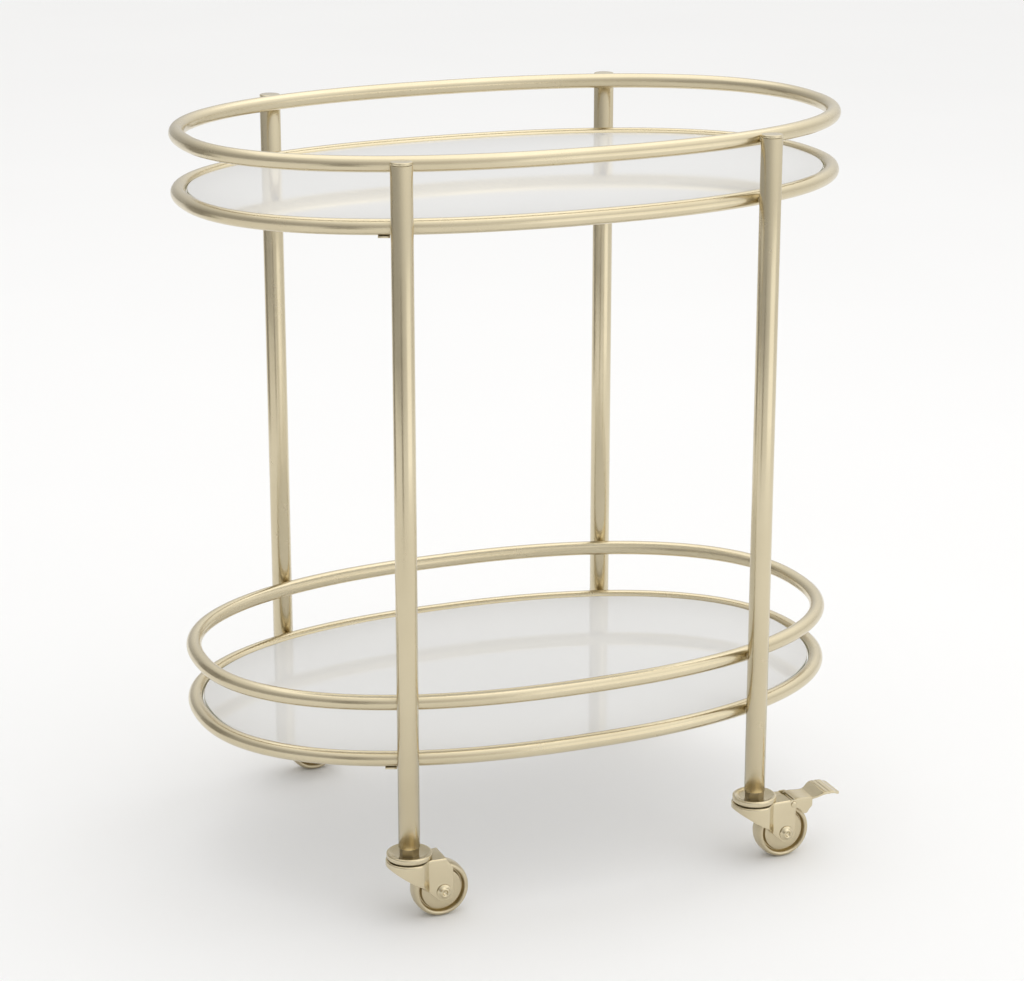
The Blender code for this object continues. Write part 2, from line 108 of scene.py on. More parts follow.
def rounded(points, radii, steps=5):
    """A 2-D outline with its corners turned into arcs. A radius of 0 keeps the corner."""
    result = []
    count = len(points)
    for i, (point, radius) in enumerate(zip(points, radii)):
        here = Vector(point)
        if radius <= 0:
            result.append(tuple(here))
            continue
        before = (Vector(points[i - 1]) - here).normalized()
        after = (Vector(points[(i + 1) % count]) - here).normalized()
        half_angle = before.angle(after) / 2
        reach = radius / math.tan(half_angle)
        middle = here + (before + after).normalized() * (radius / math.sin(half_angle))
        start = here + before * reach - middle
        turn = start.angle_signed(here + after * reach - middle)
        for k in range(steps + 1):
            angle = -turn * k / steps
            cos, sin = math.cos(angle), math.sin(angle)
            spot = (middle.x + start.x * cos - start.y * sin, middle.y + start.x * sin + start.y * cos)
            result.append(spot)
    return result


def both_sides(half):
    """A profile of (radius, height) points, mirrored about height zero."""
    return half + [(radius, -height) for radius, height in half[::-1]]


def turned(profile, sides, axis="Z"):
    """A solid of revolution from (radius, height) points. A profile off the axis closes on itself."""
    bm = bmesh.new()
    rings = []
    for radius, height in profile:
        count = 1 if radius < 1e-6 else sides
        ring = []
        for i in range(count):
            angle = 2 * math.pi * i / sides
            ring.append(bm.verts.new((radius * math.cos(angle), radius * math.sin(angle), height)))
        rings.append(ring)
    pairs = list(zip(rings, rings[1:]))
    if len(rings[0]) > 1:
        pairs.append((rings[-1], rings[0]))
    for upper, lower in pairs:
        for i in range(sides):
            j = (i + 1) % sides
            corners = [upper[i % len(upper)], lower[i % len(lower)]]
            corners += [lower[j % len(lower)], upper[j % len(upper)]]
            unique = list(dict.fromkeys(corners))
            if len(unique) > 2:
                bm.faces.new(unique)
    if axis == "Y":
        bmesh.ops.rotate(bm, verts=bm.verts, matrix=Matrix.Rotation(math.radians(90), 3, "X"))
    return bm


def signed_power(value, power):
    return math.copysign(abs(value) ** power, value)


def oval_point(angle, grow=0.0):
    x = HALF_LENGTH * signed_power(math.cos(angle), 2 / OVAL_POWER)
    y = HALF_WIDTH * signed_power(math.sin(angle), 2 / OVAL_POWER)
    return Vector((x, y, 0)) + oval_normal(x, y) * grow


def oval_normal(x, y):
    gx = signed_power(x / HALF_LENGTH, OVAL_POWER - 1) / HALF_LENGTH
    gy = signed_power(y / HALF_WIDTH, OVAL_POWER - 1) / HALF_WIDTH
    return Vector((gx, gy, 0)).normalized()


def oval_stations():
    """Points spread evenly along the rings' centreline."""
    fine = [oval_point(2 * math.pi * i / 8000) for i in range(8001)]
    lengths = [0.0]
    for a, b in zip(fine, fine[1:]):
        lengths.append(lengths[-1] + (b - a).length)
    stations = []
    k = 0
    for i in range(RING_STEPS):
        wanted = lengths[-1] * i / RING_STEPS
        while lengths[k + 1] < wanted:
            k += 1
        part = (wanted - lengths[k]) / (lengths[k + 1] - lengths[k])
        stations.append(fine[k].lerp(fine[k + 1], part))
    return stations


STATIONS = oval_stations()
NORMALS = [oval_normal(p.x, p.y) for p in STATIONS]


# ---- materials ----
class Look:
    """A Principled material with a few node helpers."""

    def __init__(self, name, **sockets):
        self.material = bpy.data.materials.new(name)
        self.material.use_nodes = True
        self.tree = self.material.node_tree
        self.shader = self.tree.nodes["Principled BSDF"]
        for socket, value in sockets.items():
            self.shader.inputs[socket.replace("_", " ")].default_value = value
        self.place = self.tree.nodes.new("ShaderNodeTexCoord").outputs["Object"]

    def noise(self, scale, detail=2.0, roughness=0.5, stretch=(1, 1, 1)):
        mapping = self.tree.nodes.new("ShaderNodeMapping")
        mapping.inputs["Scale"].default_value = stretch
        node = self.tree.nodes.new("ShaderNodeTexNoise")
        node.inputs["Scale"].default_value = scale
        node.inputs["Detail"].default_value = detail
        node.inputs["Roughness"].default_value = roughness
        self.tree.links.new(self.place, mapping.inputs["Vector"])
        self.tree.links.new(mapping.outputs["Vector"], node.inputs["Vector"])
        return node.outputs["Fac"]

    def spread(self, value, low, high, start=0.3, end=0.7):
        node = self.tree.nodes.new("ShaderNodeMapRange")
        node.inputs["From Min"].default_value = start
        node.inputs["From Max"].default_value = end
        node.inputs["To Min"].default_value = low
        node.inputs["To Max"].default_value = high
        self.tree.links.new(value, node.inputs["Value"])
        return node.outputs["Result"]

    def blend(self, value, first, second):
        node = self.tree.nodes.new("ShaderNodeMix")
        node.data_type = "RGBA"
        node.inputs["A"].default_value = (*first, 1)
        node.inputs["B"].default_value = (*second, 1)
        self.tree.links.new(value, node.inputs["Factor"])
        return node.outputs["Result"]

    def bump(self, heights):
        """Chains bumps given as (height output, distance in metres, strength)."""
        last = None
        for height, distance, strength in heights:
            node = self.tree.nodes.new("ShaderNodeBump")
            node.inputs["Distance"].default_value = distance
            node.inputs["Strength"].default_value = strength
            self.tree.links.new(height, node.inputs["Height"])
            if last is not None:
                self.tree.links.new(last, node.inputs["Normal"])
            last = node.outputs["Normal"]
        self.tree.links.new(last, self.shader.inputs["Normal"])

    def feed(self, socket, output):
        self.tree.links.new(output, self.shader.inputs[socket])

    def colour(self, value, first, second):
        """A base colour that clouds softly from one tone to another."""
        self.feed("Base Color", self.blend(self.spread(value, 0, 1), first, second))


def gold_look(name, light, dark, low_roughness, high_roughness, grain):
    """Satin champagne gold: a metallic lacquer with fine flake, faint clouding and a soft orange peel."""
    look = Look(name, Metallic=1.0, Coat_Weight=0.12, Coat_Roughness=0.22)
    cloud = look.noise(9, 3)
    look.colour(cloud, light, dark)
    haze = look.noise(38, 4, 0.6)
    look.feed("Roughness", look.spread(haze, low_roughness, high_roughness))
    flake = look.noise(grain, 1)
    peel = look.noise(320, 2)
    look.bump([(flake, 0.00002, 0.20), (peel, 0.00004, 0.10)])
    return look.material


def glass_look():
    """Back-painted white glass: a clean glossy face with the faintest wiping marks."""
    look = Look("white_glass_face", IOR=1.5)
    tint = look.noise(3.5, 3)
    look.colour(tint, (0.765, 0.765, 0.76), (0.795, 0.795, 0.79))
    wipes = look.noise(7, 5, 0.65, (1, 2.4, 1))
    look.feed("Roughness", look.spread(wipes, 0.035, 0.085))
    look.bump([(look.noise(5, 1), 0.0004, 0.04)])
    return look.material


def glass_edge_look():
    """The ground edge of the pane, a little green and dull."""
    look = Look("white_glass_edge", IOR=1.5)
    cloud = look.noise(60, 3)
    look.colour(cloud, (0.58, 0.64, 0.60), (0.66, 0.71, 0.67))
    look.feed("Roughness", look.spread(look.noise(500, 2), 0.25, 0.42))
    look.bump([(look.noise(1400, 2), 0.00003, 0.3)])
    return look.material


def rubber_look(name, light, dark, roughness):
    look = Look(name, IOR=1.48)
    look.colour(look.noise(180, 3), light, dark)
    look.feed("Roughness", look.spread(look.noise(400, 3), roughness - 0.08, roughness + 0.08))
    look.bump([(look.noise(1600, 2), 0.00005, 0.35)])
    return look.material


def zinc_look():
    look = Look("zinc_plate", Metallic=1.0)
    look.colour(look.noise(45, 4), (0.52, 0.52, 0.50), (0.64, 0.64, 0.63))
    look.feed("Roughness", look.spread(look.noise(150, 4), 0.24, 0.42))
    look.bump([(look.noise(900, 2, 0.5, (1, 1, 0.2)), 0.00003, 0.3)])
    return look.material


TUBE_GOLD = gold_look("champagne_gold_tube", (0.680, 0.600, 0.425), (0.630, 0.550, 0.380), 0.20, 0.28, 2600)
CASTER_GOLD = gold_look("champagne_gold_caster", (0.71, 0.625, 0.44), (0.64, 0.555, 0.38), 0.17, 0.27, 1900)
# The wheel's darker gold is partly its own duller finish and partly painted shade on the web tucked inside
# the fork.
WHEEL_DULL_SHADED_GOLD = gold_look("champagne_gold_wheel_dull_and_painted_shade", (0.640, 0.560, 0.390), (0.570, 0.490, 0.330), 0.26, 0.38, 1500)
# The hexagon's near-black gold is painted shade: it darkens the foot of the post, where the dish lies in
# shadow.
HEX_SHADE_GOLD = gold_look("champagne_gold_hexagon_painted_shade", (0.300, 0.250, 0.160), (0.240, 0.200, 0.125), 0.28, 0.40, 1500)
WELD_GOLD = gold_look("champagne_gold_weld", (0.620, 0.535, 0.370), (0.540, 0.460, 0.310), 0.34, 0.46, 1200)
GLASS_FACE = glass_look()
GLASS_EDGE = glass_edge_look()
CLEAR_RUBBER = rubber_look("clear_bumper", (0.62, 0.62, 0.59), (0.72, 0.72, 0.69), 0.35)
BLACK_RUBBER = rubber_look("shoe_rubber", (0.030, 0.030, 0.030), (0.055, 0.053, 0.050), 0.62)
ZINC = zinc_look()


# ---- the frame ----
def make_ring(name):
    """One oval of round tube, with the faint flat of its ground butt weld at the back."""
    sides = 32
    weld_angle = math.pi / 2
    bm = bmesh.new()
    loops = []
    for point, normal in zip(STATIONS, NORMALS):
        along = (math.atan2(point.y, point.x) - weld_angle) * HALF_WIDTH
        swell = 0.00012 * math.exp(-((along / 0.0022) ** 2))
        radius = RING_RADIUS - swell
        loop = []
        for j in range(sides):
            angle = 2 * math.pi * j / sides
            height = radius * math.sin(angle) + RING_Z[name]
            offset = normal * (radius * math.cos(angle)) + Vector((0, 0, height))
            loop.append(bm.verts.new(point + offset))
        loops.append(loop)
    for i in range(RING_STEPS):
        here, there = loops[i], loops[(i + 1) % RING_STEPS]
        for j in range(sides):
            k = (j + 1) % sides
            bm.faces.new((here[j], there[j], there[k], here[k]))
    finished(f"{name}_tube", bm, ROOT, TUBE_GOLD, [name])


def make_shelf(node):
    """A glass pane with ground, rounded edges."""
    low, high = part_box(node)
    inset = HALF_LENGTH - high.x
    thick = high.z - low.z
    arris = 0.0011
    rows = []
    steps = 6
    for i in range(steps + 1):
        angle = math.pi / 2 * i / steps
        rows.append((inset + arris * (1 - math.sin(angle)), high.z - arris * (1 - math.cos(angle))))
    for i in range(steps + 1):
        angle = math.pi / 2 * i / steps
        rows.append((inset + arris * (1 - math.cos(angle)), low.z + arris * (1 - math.sin(angle))))
    inner = [inset + arris + extra for extra in (0.004, 0.014)]
    rows = [(step_in, high.z) for step_in in inner[::-1]] + rows + [(step_in, low.z) for step_in in inner]
    bm = bmesh.new()
    loops = []
    for step_in, height in rows:
        rise = Vector((0, 0, height))
        loops.append([bm.verts.new(p - n * step_in + rise) for p, n in zip(STATIONS, NORMALS)])
    bm.faces.new(loops[0])
    bm.faces.new(loops[-1][::-1])
    for upper, lower in zip(loops, loops[1:]):
        for i in range(RING_STEPS):
            j = (i + 1) % RING_STEPS
            face = bm.faces.new((upper[i], lower[i], lower[j], upper[j]))
            rim = abs(face.calc_center_median().z - (low.z + high.z) / 2) < thick / 2 - arris * 0.4
            face.material_index = 1 if rim else 0
    pane = finished(f"{node}_pane", bm, ROOT, GLASS_FACE, [node], smooth_angle=30)
    pane.visible_shadow = False  # keeps the floor under the cart pale
    pane.data.materials.append(GLASS_EDGE)


def make_post(corner):
    """The tube, open below with its wall showing, and the welded cap with a softened edge."""
    place = POST_PLACE[corner]
    wall = 0.0012
    lip = 0.00025
    inner = POST_RADIUS - wall
    tube = [
        (inner, POST_HIGH),
        (POST_RADIUS - lip, POST_HIGH),
        (POST_RADIUS, POST_HIGH - lip),
        (POST_RADIUS, POST_LOW + lip),
        (POST_RADIUS - lip, POST_LOW),
        (inner + lip, POST_LOW),
        (inner, POST_LOW + lip),
    ]
    centre = (place.x, place.y, 0)
    finished(f"{corner}_post_tube", turned(tube, 64), ROOT, TUBE_GOLD,
             [f"{corner}_post"], 50, centre)
    low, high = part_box(f"{corner}_post_cap")
    edge = 0.0011
    plate = 0.0029
    cap = [(0, high.z)]
    for i in range(7):
        angle = math.pi / 2 * i / 6
        cap.append((POST_RADIUS - edge + edge * math.sin(angle), high.z - edge + edge * math.cos(angle)))
    cap += [(POST_RADIUS, high.z - plate + lip), (POST_RADIUS - lip, high.z - plate)]
    cap += [(inner - 0.0004, high.z - plate), (inner - 0.0004, low.z), (0, low.z)]
    finished(f"{corner}_post_end_cap", turned(cap, 64), ROOT, TUBE_GOLD,
             [f"{corner}_post_cap"], 50, centre)


def make_weld(name, spot, outward, across, up, reach, depth, seed):
    """A smooth lens of weld metal in the throat between two tubes, with a few soft ripples."""
    bm = bmesh.new()
    bmesh.ops.create_icosphere(bm, subdivisions=4, radius=1)
    for vert in bm.verts:
        p = vert.co.copy()
        ripple = 1 + 0.10 * noise.noise(Vector((p.x * 2.6 + seed, p.y * 2.6, p.z * 2.6)))
        flat = math.hypot(p.x, p.z)
        throat = depth * (0.35 + 0.65 * flat) * ripple
        vert.co = across * (p.x * reach[0]) + up * (p.z * reach[1]) + outward * (p.y * throat) + spot
    finished(name, bm, ROOT, WELD_GOLD)


def make_post_welds(corner, index):
    """One weld where the post meets each of the four rings."""
    place = POST_PLACE[corner]
    best = min(STATIONS, key=lambda p: (p.x - place.x) ** 2 + (p.y - place.y) ** 2)
    outward = Vector((place.x - best.x, place.y - best.y, 0)).normalized()
    across = Vector((-outward.y, outward.x, 0))
    spot = Vector((place.x, place.y, 0)) - outward * (POST_RADIUS + 0.00015)
    up = Vector((0, 0, 1))
    reach, depth = (0.0052, 0.0044), 0.0017
    for k, ring in enumerate(RINGS):
        at = spot + Vector((0, 0, RING_Z[ring]))
        make_weld(f"{corner}_{ring}_weld", at, outward, across, up, reach, depth, index * 7 + k * 3)


def softened(node, look, body, width, name):
    """The CAD piece's own shape with its edges broken."""
    bm = bmesh.new()
    bm.from_mesh(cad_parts[node].data)
    bmesh.ops.remove_doubles(bm, verts=bm.verts, dist=1e-6)
    bmesh.ops.dissolve_limit(bm, angle_limit=math.radians(1), verts=bm.verts, edges=bm.edges)
    sharp = [e for e in bm.edges if len(e.link_faces) == 2 and e.calc_face_angle() > math.radians(25)]
    bmesh.ops.bevel(bm, geom=sharp, offset=width, segments=3, profile=0.5, affect="EDGES", clamp_overlap=True)
    finished(name, bm, body, look, [node], 30)


def make_bumper(node):
    """A clear domed pad between a tab and the glass."""
    low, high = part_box(node)
    middle = (low + high) / 2
    radius = (high.x - low.x) / 2
    points = [(0, high.z), (radius * 0.80, high.z), (radius, low.z), (0, low.z)]
    outline = rounded(points, (0, 0.0009, 0.0007, 0), 5)
    finished(f"{node}_pad", turned(outline, 40), ROOT, CLEAR_RUBBER,
             [node], 50, (middle.x, middle.y, 0))


def make_frame():
    for ring in RINGS:
        make_ring(ring)
    for tier in ("upper", "lower"):
        make_shelf(f"{tier}_glass_shelf")
    for index, corner in enumerate(CORNERS):
        make_post(corner)
        make_post_welds(corner, index)
        for tier in ("upper", "lower"):
            tab = f"{tier}_{corner}_support_tab"
            softened(tab, TUBE_GOLD, ROOT, 0.0004, f"{tab}_lug")
            make_bumper(f"{tier}_{corner}_bumper")
        for node in (f"{corner}_threaded_insert", f"{corner}_ball_race"):
            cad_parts[node].data.materials.clear()
            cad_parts[node].data.materials.append(ZINC)


# ---- the casters ----
FORK_TOP = round(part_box("front_left_caster_fork")[1].z, 4)
SHEET = 0.0020  # thickness of the fork's steel
CHEEK = 0.0150  # from the middle to the outside of each leg
COLLAR = 0.0245  # radius of the fork's nose
LEG_END = 0.0100  # radius of the round end of each leg
LEG_REAR = TRAIL + 0.0099
LEG_LEAN = math.radians(50)  # where the skirt's slope meets that round end
EAR_LOW = 0.0570  # bottom of the braked forks' rear ears
BRIDGE_END = 0.0345
BRAKED_BRIDGE_END = 0.0362
BRAKED_REAR = 0.0455
SHOULDER = 0.0019  # round between the fork's bridge and its walls
CREASE_X = 0.0165  # where the taper turns into the straight leg
STRAIGHT_FROM = 0.0159  # ahead of this the walls lean out from the stem, behind it they face sideways
KINGPIN_BORE = 0.0055
AXLE_BORE = 0.0045
PIN_BORE = 0.0025
CUT_THROUGH = 0.04
RIVET_SEAT = CHEEK + 0.0003
DISH_FLOOR = 0.0712
HEAD_UNDERSIDE = 0.0695
PIN_CENTRE = centre_of("front_right_pedal_pin") - POST_PLACE["front_right"]
PIN_X = round(PIN_CENTRE.x, 4)
PIN_Z = round(centre_of("front_right_pedal_pin").z, 4)


def make_stem(corner):
    """Threaded stem and dished head with a rolled rim, over the riveted kingpin."""
    node = f"{corner}_caster_stem"
    place = POST_PLACE[corner]
    low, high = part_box(node)
    rim = (high.x - low.x) / 2
    stem = 0.0050
    pitch = 0.00125
    depth = 0.00035
    profile = [(0, high.z), (stem - 0.0008, high.z), (stem, high.z - 0.0008)]
    turns = int((high.z - POST_LOW) / pitch)
    for k in range(turns):
        z = high.z - 0.0015 - k * pitch
        profile += [(stem, z), (stem - depth, z - pitch / 2)]
    profile += [
        (stem, DISH_FLOOR + 0.0004),
        (0.0060, DISH_FLOOR),
        (0.0130, DISH_FLOOR + 0.0001),
        (0.0155, DISH_FLOOR + 0.0004),
        (0.0176, DISH_FLOOR + 0.0012),
        (0.0192, DISH_FLOOR + 0.0021),
    ]
    roll = 0.0021
    centre_r, centre_z = rim - roll, DISH_FLOOR + 0.0031 - roll
    for i in range(11):
        angle = math.radians(112 - 13 * i)
        profile.append((centre_r + roll * math.cos(angle), centre_z + roll * math.sin(angle)))
    lip = HEAD_UNDERSIDE - 0.0011
    profile += [(rim - 0.0001, lip + 0.0005), (rim - 0.0006, lip), (rim - 0.0018, lip)]
    profile += [(rim - 0.0024, lip + 0.0006), (rim - 0.0026, HEAD_UNDERSIDE), (stem, HEAD_UNDERSIDE)]
    under = FORK_TOP - SHEET - 0.0005
    profile += [(stem, under), (0.0084, under), (0.0085, under - 0.0004)]
    profile += [(0.0078, under - 0.0016), (0.0060, under - 0.0021), (0, under - 0.0022)]
    finished(f"{corner}_caster_head", turned(profile, 72), ROOT, CASTER_GOLD,
             [node], 50, (place.x, place.y, 0))
    make_hexagon(corner)


def make_hexagon(corner):
    """The hexagon at the foot of the stem, with turned chamfers at both ends."""
    place = POST_PLACE[corner]
    flat = 0.0090
    top = POST_LOW - 0.0006
    bottom = DISH_FLOOR + 0.0001
    chamfer = 0.0007
    sides = 96
    bm = bmesh.new()
    loops = []
    for z, trim in ((top, chamfer), (top - chamfer * 0.5, 0), (bottom + chamfer * 0.5, 0), (bottom, chamfer)):
        loop = []
        for i in range(sides):
            angle = 2 * math.pi * i / sides
            folded = (angle + math.radians(30)) % math.radians(60) - math.radians(30)
            radius = min(flat / math.cos(folded), flat / math.cos(math.radians(30)) - 0.0002 - trim * 0.9)
            loop.append(bm.verts.new((radius * math.cos(angle), radius * math.sin(angle), z)))
        loops.append(loop)
    bm.faces.new(loops[0])
    bm.faces.new(loops[-1][::-1])
    for upper, lower in zip(loops, loops[1:]):
        for i in range(sides):
            j = (i + 1) % sides
            bm.faces.new((upper[i], lower[i], lower[j], upper[j]))
    # Its near-black gold is painted shade for the shadowed foot of the post.
    finished(f"{corner}_stem_hexagon", bm, ROOT, HEX_SHADE_GOLD, [], 20,
             (place.x, place.y, 0))


def leg_bottom(x):
    """Lower edge of the fork's skirt: two eased slopes from the nose to the round end under the axle."""
    meet = (TRAIL - LEG_END * math.sin(LEG_LEAN), WHEEL_RADIUS - LEG_END * math.cos(LEG_LEAN))
    slopes = ((-COLLAR, 0.0610), (0.0063, 0.0410), meet)
    for (x0, z0), (x1, z1) in zip(slopes, slopes[1:]):
        if x <= x1:
            line = z0 + (z1 - z0) * max(0.0, x - x0) / (x1 - x0)
            return line + 0.0006 * math.exp(-(((x - slopes[1][0]) / 0.006) ** 2))
    return WHEEL_RADIUS - math.sqrt(max(0.0, LEG_END**2 - (x - TRAIL) ** 2))


def fork_half_plan(bridge_end, rear):
    """One side of the fork seen from above: nose arc, taper, crease and straight leg."""
    leave = math.radians(75)
    points = []
    steps = 34
    for i in range(steps + 1):
        angle = math.pi - (math.pi - leave) * i / steps
        points.append(Vector((COLLAR * math.cos(angle), COLLAR * math.sin(angle))))
    start = points[-1]
    crease = Vector((CREASE_X, CHEEK))
    for i in range(1, 5):
        points.append(start.lerp(crease, i / 5.8))
    bend = 0.0022
    before = crease + (start - crease).normalized() * bend
    after = crease + Vector((bend, 0))
    for i in range(7):
        t = i / 6
        points.append(before * (1 - t) ** 2 + crease * (2 * t * (1 - t)) + after * t**2)
    stations = [0.0210, 0.0235]
    arc_steps = 26
    first = TRAIL - LEG_END * math.sin(LEG_LEAN)
    for i in range(arc_steps + 1):
        stations.append(first + (LEG_REAR - first) * (1 - math.cos(math.pi * i / arc_steps)) / 2)
    stations.append(bridge_end)
    if rear > LEG_REAR:
        stations += [LEG_REAR + 0.0006, rear - 0.0010, rear]
    stations = sorted(set(stations))
    return points + [Vector((x, CHEEK)) for x in stations]


def make_fork(corner):
    """The pressed fork: rounded shoulder, flat bridge, tapering skirt and two legs with a crease."""
    braked = corner in BRAKED
    place = POST_PLACE[corner]
    bridge_end = BRAKED_BRIDGE_END if braked else BRIDGE_END
    rear = BRAKED_REAR if braked else LEG_REAR
    half = fork_half_plan(bridge_end, rear)
    plan = half[::-1] + [Vector((p.x, -p.y)) for p in half[1:]]

    def top_of(x):
        if x <= bridge_end:
            return FORK_TOP
        if braked:
            corner_r = 0.0018
            over = max(0.0, x - (rear - corner_r))
            return FORK_TOP - (corner_r - math.sqrt(max(0.0, corner_r**2 - over**2)))
        return FORK_TOP - (x - bridge_end) * 1.6

    def low_of(x):
        return EAR_LOW if x > LEG_REAR else leg_bottom(x)

    def shoulder_of(x):
        if x <= bridge_end:
            return SHOULDER
        return SHOULDER * max(0.0, 1 - (x - bridge_end) / 0.0012)

    bm = bmesh.new()
    columns = []
    arc_steps = 5
    wall_steps = 5
    for p in plan:
        round_off = shoulder_of(p.x)
        outward = p.normalized() if p.x < STRAIGHT_FROM else Vector((0, math.copysign(1, p.y)))
        top = top_of(p.x)
        column = []
        for i in range(arc_steps + 1):
            angle = math.pi / 2 * i / arc_steps
            inset = round_off * (1 - math.sin(angle))
            spot = p - outward * inset
            column.append(bm.verts.new((spot.x, spot.y, top - round_off * (1 - math.cos(angle)))))
        start = top - round_off
        end = low_of(p.x)
        if round_off < 1e-6:
            start = top - 0.0006
        for i in range(1, wall_steps + 1):
            column.append(bm.verts.new((p.x, p.y, start + (end - start) * i / wall_steps)))
        columns.append(column)
    for here, there in zip(columns, columns[1:]):
        for k in range(arc_steps + wall_steps):
            bm.faces.new((here[k], here[k + 1], there[k + 1], there[k]))
    bridge = [column[0] for column, p in zip(columns, plan) if p.x <= bridge_end + 1e-9]
    bm.faces.new(bridge)
    bmesh.ops.remove_doubles(bm, verts=bm.verts, dist=2e-5)
    bmesh.ops.recalc_face_normals(bm, faces=bm.faces)
    if max(bm.faces, key=lambda f: f.calc_area()).normal.z < 0:
        bmesh.ops.reverse_faces(bm, faces=bm.faces)
    cutters = [bore_cutter((0, 0, FORK_TOP), KINGPIN_BORE, 0.006, "Z")]
    cutters.append(bore_cutter((TRAIL, 0, WHEEL_RADIUS), AXLE_BORE, CUT_THROUGH, "Y"))
    if braked:
        cutters.append(bore_cutter((PIN_X, 0, PIN_Z), PIN_BORE, CUT_THROUGH, "Y"))
    bm = pressed("fork_sheet", bm, SHEET, False, cutters)
    break_edges(bm, 0.00028, 38)
    finished(f"{corner}_fork_pressing", bm, f"{corner}_swivel", CASTER_GOLD,
             [f"{corner}_caster_fork"], 32, (place.x, place.y, 0))


def bore_cutter(centre, radius, length, axis):
    bm = turned([(0, length / 2), (radius, length / 2), (radius, -length / 2), (0, -length / 2)], 40, axis)
    bmesh.ops.recalc_face_normals(bm, faces=bm.faces)
    cutter = in_scene("bore", bm)
    cutter.location = centre
    return cutter


def pressed(name, bm, thickness, even, cutters):
    """Gives a bent surface its sheet thickness, inward, and drills it. The cutters are used up."""
    sheet = in_scene(name, bm)
    wall = sheet.modifiers.new("wall", "SOLIDIFY")
    wall.thickness = thickness
    wall.offset = -1
    wall.use_even_offset = even
    for cutter in cutters:
        cut = sheet.modifiers.new("bore", "BOOLEAN")
        cut.operation = "DIFFERENCE"
        cut.object = cutter
    bpy.context.view_layer.update()
    graph = bpy.context.evaluated_depsgraph_get()
    result = bmesh.new()
    result.from_mesh(sheet.evaluated_get(graph).to_mesh())
    for old in (sheet, *cutters):
        bpy.data.objects.remove(old)
    return result


def break_edges(bm, width, angle):
    """A small round on every edge sharper than the angle."""
    bmesh.ops.remove_doubles(bm, verts=bm.verts, dist=1e-6)
    sharp = [e for e in bm.edges if len(e.link_faces) == 2 and e.calc_face_angle() > math.radians(angle)]
    bmesh.ops.bevel(bm, geom=sharp, offset=width, segments=2, profile=0.5, affect="EDGES", clamp_overlap=True)


def make_axle(corner):
    """A tubular rivet: a tapered head each side, its rolled end round a small hollow."""
    place = AXLE_PLACE[corner]
    seat = RIVET_SEAT
    half = [
        (0, seat + 0.0020),
        (0.0018, seat + 0.0021),
        (0.0024, seat + 0.0026),
        (0.0028, seat + 0.0036),
        (0.0035, seat + 0.0042),
        (0.0044, seat + 0.0041),
        (0.0050, seat + 0.0035),
        (0.0053, seat + 0.0027),
        (0.0060, seat + 0.0019),
        (0.0071, seat + 0.0013),
        (0.0078, seat + 0.0009),
        (0.0080, seat + 0.0004),
        (0.0080, seat),
        (0.0040, seat),
    ]
    finished(f"{corner}_axle_rivet", turned(both_sides(half), 48, "Y"), f"{corner}_swivel",
             CASTER_GOLD, [f"{corner}_axle"], 50, place)


def make_wheel(corner):
    """A one-piece wheel: crowned tread, rolled rim, deep shadow groove, web and hub."""
    place = AXLE_PLACE[corner]
    hub = size_of(f"{corner}_wheel").y / 2
    half = [
        (0.0045, hub - 0.0004),
        (0.0049, hub),
        (0.0074, hub),
        (0.0079, hub - 0.0006),
        (0.0084, 0.0093),
        (0.0094, 0.0080),
        (0.0110, 0.0076),
        (0.0160, 0.0076),
        (0.0208, 0.0078),
        (0.0216, 0.0075),
        (0.0221, 0.0066),
        (0.0224, 0.0050),
        (0.0229, 0.0042),
        (0.0235, 0.0042),
        (0.0240, 0.0052),
        (0.0243, 0.0078),
        (0.0248, 0.0092),
        (0.0257, 0.0099),
        (0.0268, 0.0100),
        (0.0279, 0.0095),
        (0.0288, 0.0083),
        (0.0295, 0.0064),
        (0.0299, 0.0040),
        (WHEEL_RADIUS, 0.0015),
    ]
    # The wheel's darker gold is partly a duller finish and partly painted shade inside the fork.
    finished(f"{corner}_wheel_turned", turned(both_sides(half), 96, "Y"), f"{corner}_rolling_wheel",
             WHEEL_DULL_SHADED_GOLD, [f"{corner}_wheel"], 40, place)


# ---- the brakes ----
PEDAL_TOP = FORK_TOP
EAR = 0.0126  # from the middle to the outside of each ear
TOE = 0.0180  # half the width of the toe
PEDAL_SHEET = 0.0018
PEDAL_FRONT = 0.0412
EAR_FRONT = 0.0370
EAR_REAR = 0.0635
TOE_FULL = 0.0760  # the toe is at its full width and height from here
PEDAL_REAR = 0.0940


def smooth_step(value, low, high):
    part = min(1.0, max(0.0, (value - low) / (high - low)))
    return part * part * (3 - 2 * part)


def pedal_height(x):
    """Top of the pedal: level, a slight dip, then the raised toe with three cross ribs."""
    dip = -0.0010 * smooth_step(x, 0.0462, 0.0600)
    rise = 0.0048 * smooth_step(x, EAR_REAR, TOE_FULL)
    droop = -0.0020 * smooth_step(x, 0.0850, PEDAL_REAR)
    ribs = 0.0
    for middle in (0.0785, 0.0830, 0.0875):
        ribs += 0.00045 * math.exp(-(((x - middle) / 0.0010) ** 2))
    return PEDAL_TOP + dip + rise + droop + ribs


def pedal_half_width(x):
    wide = EAR + (TOE - EAR) * smooth_step(x, 0.0600, TOE_FULL)
    corner_r = 0.0030
    over = max(0.0, x - (PEDAL_REAR - corner_r))
    return wide - (corner_r - math.sqrt(max(0.0, corner_r**2 - over**2)))


